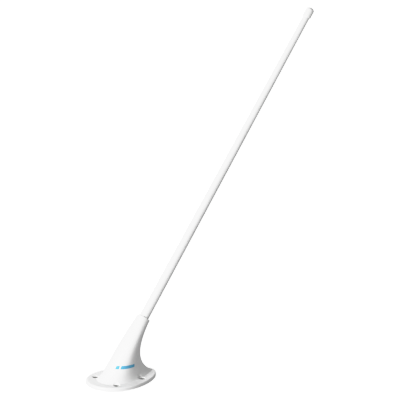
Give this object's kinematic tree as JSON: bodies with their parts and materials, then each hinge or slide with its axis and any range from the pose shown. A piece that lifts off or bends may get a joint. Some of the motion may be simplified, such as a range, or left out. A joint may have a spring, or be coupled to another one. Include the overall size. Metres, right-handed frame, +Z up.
{
  "type": "omnidirectional whip antenna",
  "caption": "Fixed omnidirectional whip antenna: a leaning tapered fibreglass whip in a flared white fairing on a flange with countersunk mounting holes, with a bayonet coaxial jack underneath.",
  "frame": {"origin": "centre of the square pattern of four mounting holes, on the flange's underside", "axes": "+Z up, out of the mounting surface; +X towards the tail of the flange, the way the whip leans; the X-Z plane is the housing's plane of symmetry"},
  "size_m": [0.3876, 0.076, 0.4704],
  "materials": {
    "fairing_plastic": "satin white moulded shell",
    "flange_paint": "satin white paint over aluminium",
    "whip_paint": "white painted fibreglass",
    "cap_plastic": "satin white moulded cap",
    "mark_ink": "printed ink",
    "sealant": "cured sealant",
    "resin": "cured epoxy",
    "rubber": "moulded rubber",
    "nickel": "nickel plate",
    "brass": "turned brass",
    "copper": "tinned copper wire",
    "steel": "stainless screws",
    "ptfe": "PTFE",
    "circuit_board": "solder mask over glass epoxy",
    "component": "coated component bodies",
    "former_plastic": "moulded former"
  },
  "bodies": {
    "root": {"fairing": "fairing_plastic", "base_flange": "flange_paint", "underside_gasket": "rubber", "fairing_seal": "rubber", "threaded_inserts": "brass", "fairing_screws": "steel", "side_mark": "mark_ink", "neck_seal": "sealant", "bonding_sleeve": "resin", "whip_rod": "whip_paint", "radiator": "brass", "tip_cap": "cap_plastic", "rod_ferrule": "brass", "ring_terminal": "nickel", "terminal_screw": "steel", "jack_shell": "nickel", "jack_insulator": "ptfe", "jack_contact": "brass", "jack_seal": "rubber", "lock_washer": "steel", "ground_lug": "nickel", "jack_nut": "nickel", "ground_lead": "copper", "matching_board": "circuit_board", "board_standoffs": "brass", "board_screws": "steel", "matching_coil": "copper", "coil_former": "former_plastic", "shunt_choke": "component", "matching_capacitors": "component"}
  },
  "joints": []
}
